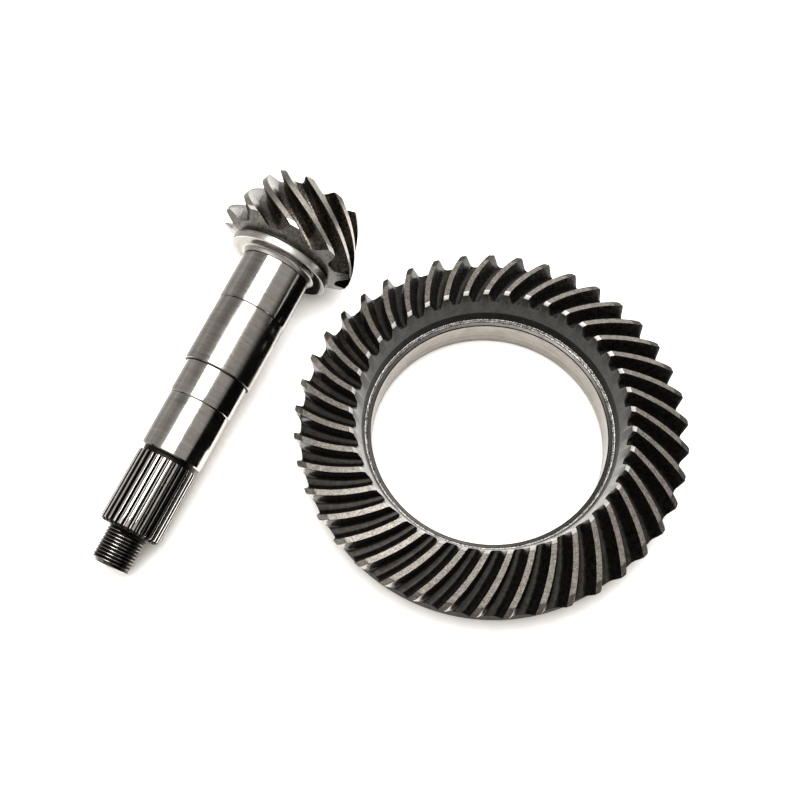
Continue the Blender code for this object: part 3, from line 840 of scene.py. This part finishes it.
COLLAR_STRETCH = (
    (20.75, 189.5, COLLAR), (21.2, 190.4, COLLAR), (21.9, 191.2, COLLAR), (22.6, 191.6, COLLAR),
    (23.2, 191.65, COLLAR_FACE), (26.0, 191.65, COLLAR_FACE), (29.2, 191.65, COLLAR_FACE),
    (29.7, 191.8, COLLAR), (30.0, 192.3, COLLAR), (30.0, 194.0, COLLAR), (30.0, 195.7, COLLAR),
    (29.8, 196.15, COLLAR), (29.3, 196.4, COLLAR),
)
NECK_STRETCH = ((28.7, 196.8, NECK), (28.55, 197.1, NECK), (28.6, 197.6, NECK), (28.8, 198.0, NECK))
SHAFT = UNDERCUT + OUTER_SEAT + PRESS_SEAT + BARREL_STRETCH + INNER_SEAT + COLLAR_STRETCH + NECK_STRETCH


def thread_rows(skin):
    """The helical thread, and the plain circle of points at each of its ends."""
    turns = int((THREAD_RELIEF[1] - THREAD_PLACE) / THREAD_PITCH) - 1
    count = turns * THREAD_SIDES
    half_turn = THREAD_SIDES // 2
    grid = []
    for k in range(count + THREAD_SIDES + 1):
        angle = TURN * k / THREAD_SIDES
        grown = min(1.0, THREAD_GROWTH * k / THREAD_SIDES)
        column = []
        for step, share in enumerate(THREAD_SHAPE):
            if k > count and step:
                break
            place = THREAD_PLACE + THREAD_PITCH * (k / THREAD_SIDES + step / THREAD_STEPS)
            radius = mix((THREAD_MINOR, THREAD_MAJOR), share * grown)
            row = skin.row([(radius, angle, place)], [(angle * radius * MM, place * MM, LAY_THREAD)])
            column.append(row[0][0])
        grid.append(column)
    for k in range(count):
        for step in range(THREAD_STEPS):
            if step + 1 < THREAD_STEPS:
                upper = (grid[k + 1][step + 1], grid[k][step + 1])
            else:
                upper = (grid[k + 1 + THREAD_SIDES][0], grid[k + THREAD_SIDES][0])
            # the crest keeps the thread's finish; flanks and roots take the painted shade
            kind = THREAD if step in (0, 1) and k > half_turn else THREAD_ROOT_SHADE
            skin.face((grid[k][step], grid[k + 1][step]) + upper, kind)
    start = skin.turned(*THREAD_NOSE, even_angles(THREAD_SIDES))
    end = skin.turned(*THREAD_RELIEF, even_angles(THREAD_SIDES))
    for k in range(THREAD_SIDES):
        after = (k + 1) % THREAD_SIDES
        skin.face((start[k][0], start[after][0], grid[k + 1][0], grid[k][0]), THREAD)
        last = count + k
        skin.face((grid[last][0], grid[last + 1][0], end[after][0], end[k][0]), THREAD_ROOT_SHADE)
    # the two steps where the helix starts and ends
    opening = [grid[THREAD_SIDES][0]] + list(reversed(grid[0])) + [start[0][0]]
    skin.face(tuple(reversed(opening)), THREAD)
    closing = grid[count] + [grid[count + THREAD_SIDES][0], end[0][0]]
    skin.face(tuple(reversed(closing)), THREAD)
    return start, end


def threaded_end(skin):
    """The end face with its centre hole, the thread, and the face that the spline starts from."""
    rows = [skin.turned(radius, place, even_angles(THREAD_SIDES)) for radius, place in END_SECTION]
    skin.cap(rows[0], END_HOLE_TIP, SHAFT_GROOVE_SHADE)
    for first, second in zip(rows, rows[1:]):
        skin.join(first, second, END_FACE)
    start, end = thread_rows(skin)
    skin.join(rows[-1], start, THREAD_ROOT_SHADE)
    inner, outer = [skin.turned(radius, place, even_angles(THREAD_SIDES)) for radius, place in SPLINE_FACE]
    skin.join(end, inner, THREAD_ROOT_SHADE)
    skin.join(inner, outer, END_FACE)
    return outer


def spline_row(skin, tip_radius, root_radius, place):
    """One row around the spline: rounded teeth with a filleted space between them."""
    pitch = TURN / SPLINE_TEETH
    places = []
    lay = []
    for k in range(SPLINE_TEETH):
        for share, reach in SPLINE_SHAPE:
            radius = mix((root_radius, tip_radius), reach)
            places.append((radius, pitch * (k + share), place))
            lay.append((place * MM, pitch * (k + share) * radius * MM, LAY_SPLINE))
    return skin.row(places, lay)


def spline(skin, face_row):
    """The spline behind its face. Returns its last row."""
    sections = SPLINE_NOSE + tuple((*SPLINE_RADII, place) for place in SPLINE_PLACES) + (SPLINE_BACK,)
    rows = [spline_row(skin, *section) for section in sections]
    skin.join(face_row, rows[0], END_FACE)
    # the sides of each spline tooth carry the painted shade
    tooth = [SPLINE] * 3 + [SPLINE_SPACE_SHADE] * 5 + [SPLINE_ROOT] + [SPLINE_SPACE_SHADE] * 5
    nose = len(SPLINE_NOSE) - 1
    for number, (first, second) in enumerate(zip(rows, rows[1:])):
        skin.join(first, second, SHAFT_GROOVE_SHADE if number < nose else tooth * SPLINE_TEETH)
    return rows[-1]


def shaft(skin, above):
    """The turned shaft behind the spline, up to the head. Returns its last row."""
    for radius, place, finish in SHAFT:
        below = skin.turned(radius, place, even_angles(SHAFT_COLUMNS))
        skin.join(above, below, finish)
        above = below
    return above


def head_row(skin, u):
    """One row across the pinion's teeth, at u from the heel (0) to the toe (1)."""
    tip_radius = mix((HEAD_HEEL_TIP[0], HEAD_TOE_TIP[0]), u)
    tip_place = mix((HEAD_HEEL_TIP[1], HEAD_TOE_TIP[1]), u)
    run = u * (HEAD_TOE_TIP[1] - HEAD_HEEL_TIP[1])
    tip = (tip_radius - HEAD_CHAMFER_DROP * max(0.0, 1 - run / HEAD_CHAMFER), tip_place)
    root = (mix((HEAD_HEEL_ROOT[0], HEAD_TOE_ROOT[0]), u), mix((HEAD_HEEL_ROOT[1], HEAD_TOE_ROOT[1]), u))
    trace = math.radians(HEAD_PHASE + HEAD_WRAP * u + HEAD_WRAP_GROWTH * u * u)
    tip_half = math.radians(mix(HEAD_TOPLAND_HALF, u)) * narrowed(u, TOE_NARROWS, TOE_NARROWING)
    root_half = math.radians(mix(HEAD_ROOTLAND_HALF, u))
    along = u * HEAD_LAY_LENGTH
    return skin.row(*tooth_columns(PINION_TEETH, tip, root, trace, tip_half, root_half, along))


def head(skin, neck_row):
    """The toothed head, from the neck to the toe face with its centre hole."""
    chamfer = HEAD_CHAMFER / (HEAD_TOE_TIP[1] - HEAD_HEEL_TIP[1])
    stations = [0.0, chamfer / 2]
    stations += [mix((chamfer, 1.0), k / HEAD_STATIONS) for k in range(HEAD_STATIONS + 1)]
    rows = [head_row(skin, station) for station in stations]
    back = skin.turned(*HEAD_FOOT, row_angles(rows[0]))
    skin.join(neck_row, back, NECK)
    skin.join(back, rows[0], HEAD_BACK)
    for k in range(len(rows) - 1):
        land = HEEL_CUT if stations[k] < chamfer else HEAD_LAND
        skin.join(rows[k], rows[k + 1], column_finishes(PINION_TEETH, land, HEAD_FLANK, HEAD_FLANK))
    angles = row_angles(rows[-1])
    above = skin.turned(*FRONT_EDGE, angles)
    skin.join(rows[-1], above, HEAD_BACK)
    for radius, place in FRONT_SECTION:
        below = skin.turned(radius, place, even_angles(THREAD_SIDES, angles[0]))
        skin.join(above, below, END_FACE)
        above = below
    skin.cap(above, FRONT_HOLE_TIP, SHAFT_GROOVE_SHADE)


def make_drive_pinion():
    skin = Skin()
    head(skin, shaft(skin, spline(skin, threaded_end(skin))))
    joint = frame["joints"][0]
    axis = Vector(joint["axis"]).normalized()
    side = Vector((axis.y, -axis.x, 0.0)).normalized()
    turn = Matrix((side.cross(axis), side, axis)).transposed()
    pose = Matrix.Translation(Vector(joint["pos_m"])) @ turn.to_4x4()
    return skin.object("hypoid_drive_pinion", pinion_finishes(), pose)


# --- studio ------------------------------------------------------------------------------------

def make_floor():
    """White paper on a light table, whose glow fades to a painted brown shadow where the gears stand close
    over it.
    """
    data = bpy.data.meshes.new("floor")
    corners = [(x * FLOOR_REACH, y * FLOOR_REACH, 0) for x, y in ((-1, -1), (1, -1), (1, 1), (-1, 1))]
    data.from_pydata(corners, [], [(0, 1, 2, 3)])
    paper = Finish("paper", 0.0, specular=0.1)
    place = paper.tree.nodes.new("ShaderNodeTexCoord").outputs["Object"]
    fibre = paper.noise(place, 900, 3.0)
    paper.colour(paper.blend(fibre, (0.90, 0.89, 0.87), (0.94, 0.93, 0.915)))
    paper.roughness(0.9)
    paper.bump(fibre, 0.00002)
    shade = paper.tree.nodes.new("ShaderNodeAmbientOcclusion")
    shade.samples = FLOOR_SHADE_SAMPLES
    shade.inputs["Distance"].default_value = FLOOR_SHADE_REACH
    painted_shadow_fade = paper.levels(shade.outputs["AO"], *FLOOR_SHADOW_FADE)
    # painted contact shadow: the glow turns dark brown where little open air is around
    glow = paper.blend(painted_shadow_fade, (0.10, 0.082, 0.058), (1.0, 0.985, 0.96))
    paper.link(glow, paper.shader.inputs["Emission Color"])
    paper.shader.inputs["Emission Strength"].default_value = FLOOR_GLOW
    data.materials.append(paper.material)
    floor = bpy.data.objects.new("floor", data)
    bpy.context.scene.collection.objects.link(floor)


def make_softbox():
    """A softbox that shines straight down on the set."""
    data = bpy.data.lights.new("softbox", "AREA")
    data.shape = "RECTANGLE"
    data.size, data.size_y = SOFTBOX_SIZE
    data.energy = SOFTBOX_POWER
    data.color = SOFTBOX_COLOUR
    lamp = bpy.data.objects.new("softbox", data)
    lamp.location = SOFTBOX_PLACE
    lamp.rotation_euler = (0.0, 0.0, math.radians(SOFTBOX_AZIMUTH - 90))
    bpy.context.scene.collection.objects.link(lamp)


def card(name, corners, grey):
    """A flat card that only reflections see, as a studio flag, a reflector or a painted shadow on the floor.
    Its back is clear.
    """
    data = bpy.data.meshes.new(name)
    data.from_pydata(corners, [], [(0, 1, 2, 3)])
    paint = bpy.data.materials.new(name)
    paint.use_nodes = True
    tree = paint.node_tree
    tree.nodes.clear()
    out = tree.nodes.new("ShaderNodeOutputMaterial")
    glow = tree.nodes.new("ShaderNodeEmission")
    glow.inputs["Color"].default_value = (grey, grey * 0.97, grey * 0.93, 1.0)
    side = tree.nodes.new("ShaderNodeNewGeometry")
    clear = tree.nodes.new("ShaderNodeBsdfTransparent")
    choose = tree.nodes.new("ShaderNodeMixShader")
    tree.links.new(side.outputs["Backfacing"], choose.inputs[0])
    tree.links.new(glow.outputs[0], choose.inputs[1])
    tree.links.new(clear.outputs[0], choose.inputs[2])
    tree.links.new(choose.outputs[0], out.inputs["Surface"])
    data.materials.append(paint)
    flag = bpy.data.objects.new(name, data)
    flag.visible_camera = False
    flag.visible_diffuse = False
    flag.visible_shadow = False
    flag.visible_transmission = False
    flag.visible_volume_scatter = False
    bpy.context.scene.collection.objects.link(flag)


def sight_line(distance):
    """The point on the camera's line of sight at a distance from its target."""
    rise = math.radians(CAMERA_ELEVATION)
    return Vector(CAMERA_TARGET) + Vector((0.0, -math.cos(rise), math.sin(rise))) * distance


def make_cards():
    """A dark card beside the shaft, dark cards on the floor by the ring and under the collar as painted
    shadows, light ones to its left, and one where the camera stands.
    """
    joint = frame["joints"][0]
    start = Vector(joint["pos_m"])
    along = Vector((joint["axis"][0], joint["axis"][1], 0.0)).normalized()
    across = Vector((along.y, -along.x, 0.0))
    for name, sides, heights, reaches, grey in CARDS:
        corners = []
        for k, reach in ((0, reaches[0]), (1, reaches[0]), (1, reaches[1]), (0, reaches[1])):
            spot = start + across * sides[k] + along * reach
            corners.append((spot.x, spot.y, heights[k]))
        card(name, corners, grey)
    width, depth, left_share, gap, grey = CAMERA_CARD
    middle = sight_line(CAMERA_DISTANCE + gap)
    left = middle.x - width * left_share
    right = middle.x + width * (1 - left_share)
    near = middle.y - depth / 2
    far = middle.y + depth / 2
    corners = [(x, y, middle.z) for x, y in ((left, near), (left, far), (right, far), (right, near))]
    card("camera_body", corners, grey)


def lobe(tree, direction, inner, outer, strength):
    """A soft patch of the world: a value that rises towards a direction, or falls if strength is below 0."""
    spot = tree.nodes.new("ShaderNodeTexCoord")
    dot = tree.nodes.new("ShaderNodeVectorMath")
    dot.operation = "DOT_PRODUCT"
    tree.links.new(spot.outputs["Generated"], dot.inputs[0])
    dot.inputs[1].default_value = Vector(direction).normalized()
    rise = tree.nodes.new("ShaderNodeMapRange")
    rise.inputs["From Min"].default_value = math.cos(math.radians(outer))
    rise.inputs["From Max"].default_value = math.cos(math.radians(inner))
    rise.inputs["To Min"].default_value = 0.0
    rise.inputs["To Max"].default_value = strength
    tree.links.new(dot.outputs["Value"], rise.inputs["Value"])
    return rise.outputs[0]


def make_world():
    """Grey surroundings with softly lighter and darker patches, which the eye sees as white paper."""
    world = bpy.data.worlds.new("studio")
    bpy.context.scene.world = world
    world.use_nodes = True
    tree = world.node_tree
    tree.nodes.clear()
    out = tree.nodes.new("ShaderNodeOutputWorld")
    total = lobe(tree, *WORLD_DOME)
    for patch in WORLD_LOBES:
        add = tree.nodes.new("ShaderNodeMath")
        add.operation = "ADD"
        tree.links.new(total, add.inputs[0])
        tree.links.new(lobe(tree, *patch), add.inputs[1])
        total = add.outputs[0]
    lit = tree.nodes.new("ShaderNodeMath")
    lit.operation = "MAXIMUM"
    lit.inputs[1].default_value = 0.0
    tree.links.new(total, lit.inputs[0])
    around = tree.nodes.new("ShaderNodeBackground")
    around.inputs["Color"].default_value = (1.0, 0.97, 0.93, 1.0)
    tree.links.new(lit.outputs[0], around.inputs["Strength"])
    seen = tree.nodes.new("ShaderNodeBackground")
    seen.inputs["Color"].default_value = (0.93, 0.93, 0.93, 1.0)
    path = tree.nodes.new("ShaderNodeLightPath")
    choose = tree.nodes.new("ShaderNodeMixShader")
    tree.links.new(path.outputs["Is Camera Ray"], choose.inputs[0])
    tree.links.new(around.outputs[0], choose.inputs[1])
    tree.links.new(seen.outputs[0], choose.inputs[2])
    tree.links.new(choose.outputs[0], out.inputs["Surface"])


def make_camera():
    data = bpy.data.cameras.new("camera")
    data.lens = LENS
    data.sensor_width = SENSOR
    data.clip_start = 0.01
    camera = bpy.data.objects.new("camera", data)
    camera.location = sight_line(CAMERA_DISTANCE)
    camera.rotation_euler = (math.radians(90 - CAMERA_ELEVATION), 0.0, 0.0)
    bpy.context.scene.collection.objects.link(camera)
    bpy.context.scene.camera = camera


ring_gear = make_ring_gear()
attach(ring_gear, "ring")
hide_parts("ring_gear")

drive_pinion = make_drive_pinion()
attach(drive_pinion, "pinion")
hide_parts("drive_pinion")

make_floor()
make_cards()
make_world()
make_softbox()
make_camera()

scene = bpy.context.scene
scene.view_settings.view_transform = "Standard"
scene.view_settings.look = "None"
